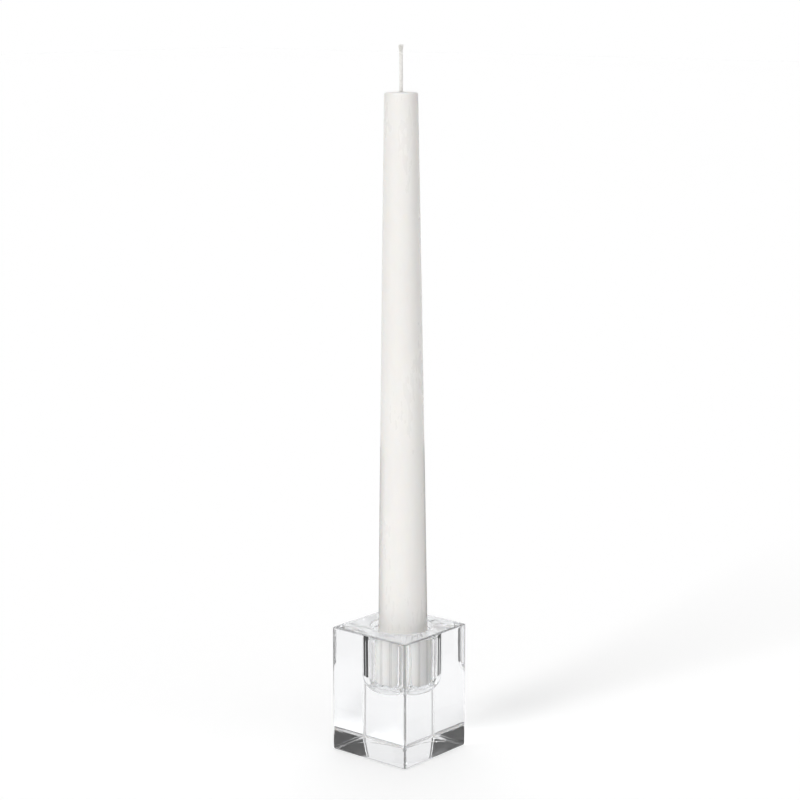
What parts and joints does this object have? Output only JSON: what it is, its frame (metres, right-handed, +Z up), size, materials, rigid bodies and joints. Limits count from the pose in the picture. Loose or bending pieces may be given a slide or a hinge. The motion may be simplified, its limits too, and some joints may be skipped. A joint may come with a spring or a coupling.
{
  "type": "glass candlestick",
  "caption": "Square clear glass block with a round fluted socket in its top, holding a tall white taper candle that lifts out.",
  "frame": {"origin": "middle of the base, on the surface that the block stands on", "axes": "+Z up through the socket towards the wick, and the block's faces look along X and Y"},
  "size_m": [0.042, 0.042, 0.3088],
  "materials": {
    "clear_glass": "clear pressed glass, fire polished",
    "candle_wax": "smooth white paraffin wax, satin",
    "wick_cotton": "unlit braided cotton, frayed at its end"
  },
  "bodies": {
    "holder": {"glass_holder": "clear_glass"},
    "candle": {"taper_candle": "candle_wax", "wick": "wick_cotton"}
  },
  "joints": [
    {"name": "candle_lift", "type": "slide", "parent": "holder", "child": "candle", "axis": [0, 0, 1], "range_m": [0, 0.03]}
  ]
}
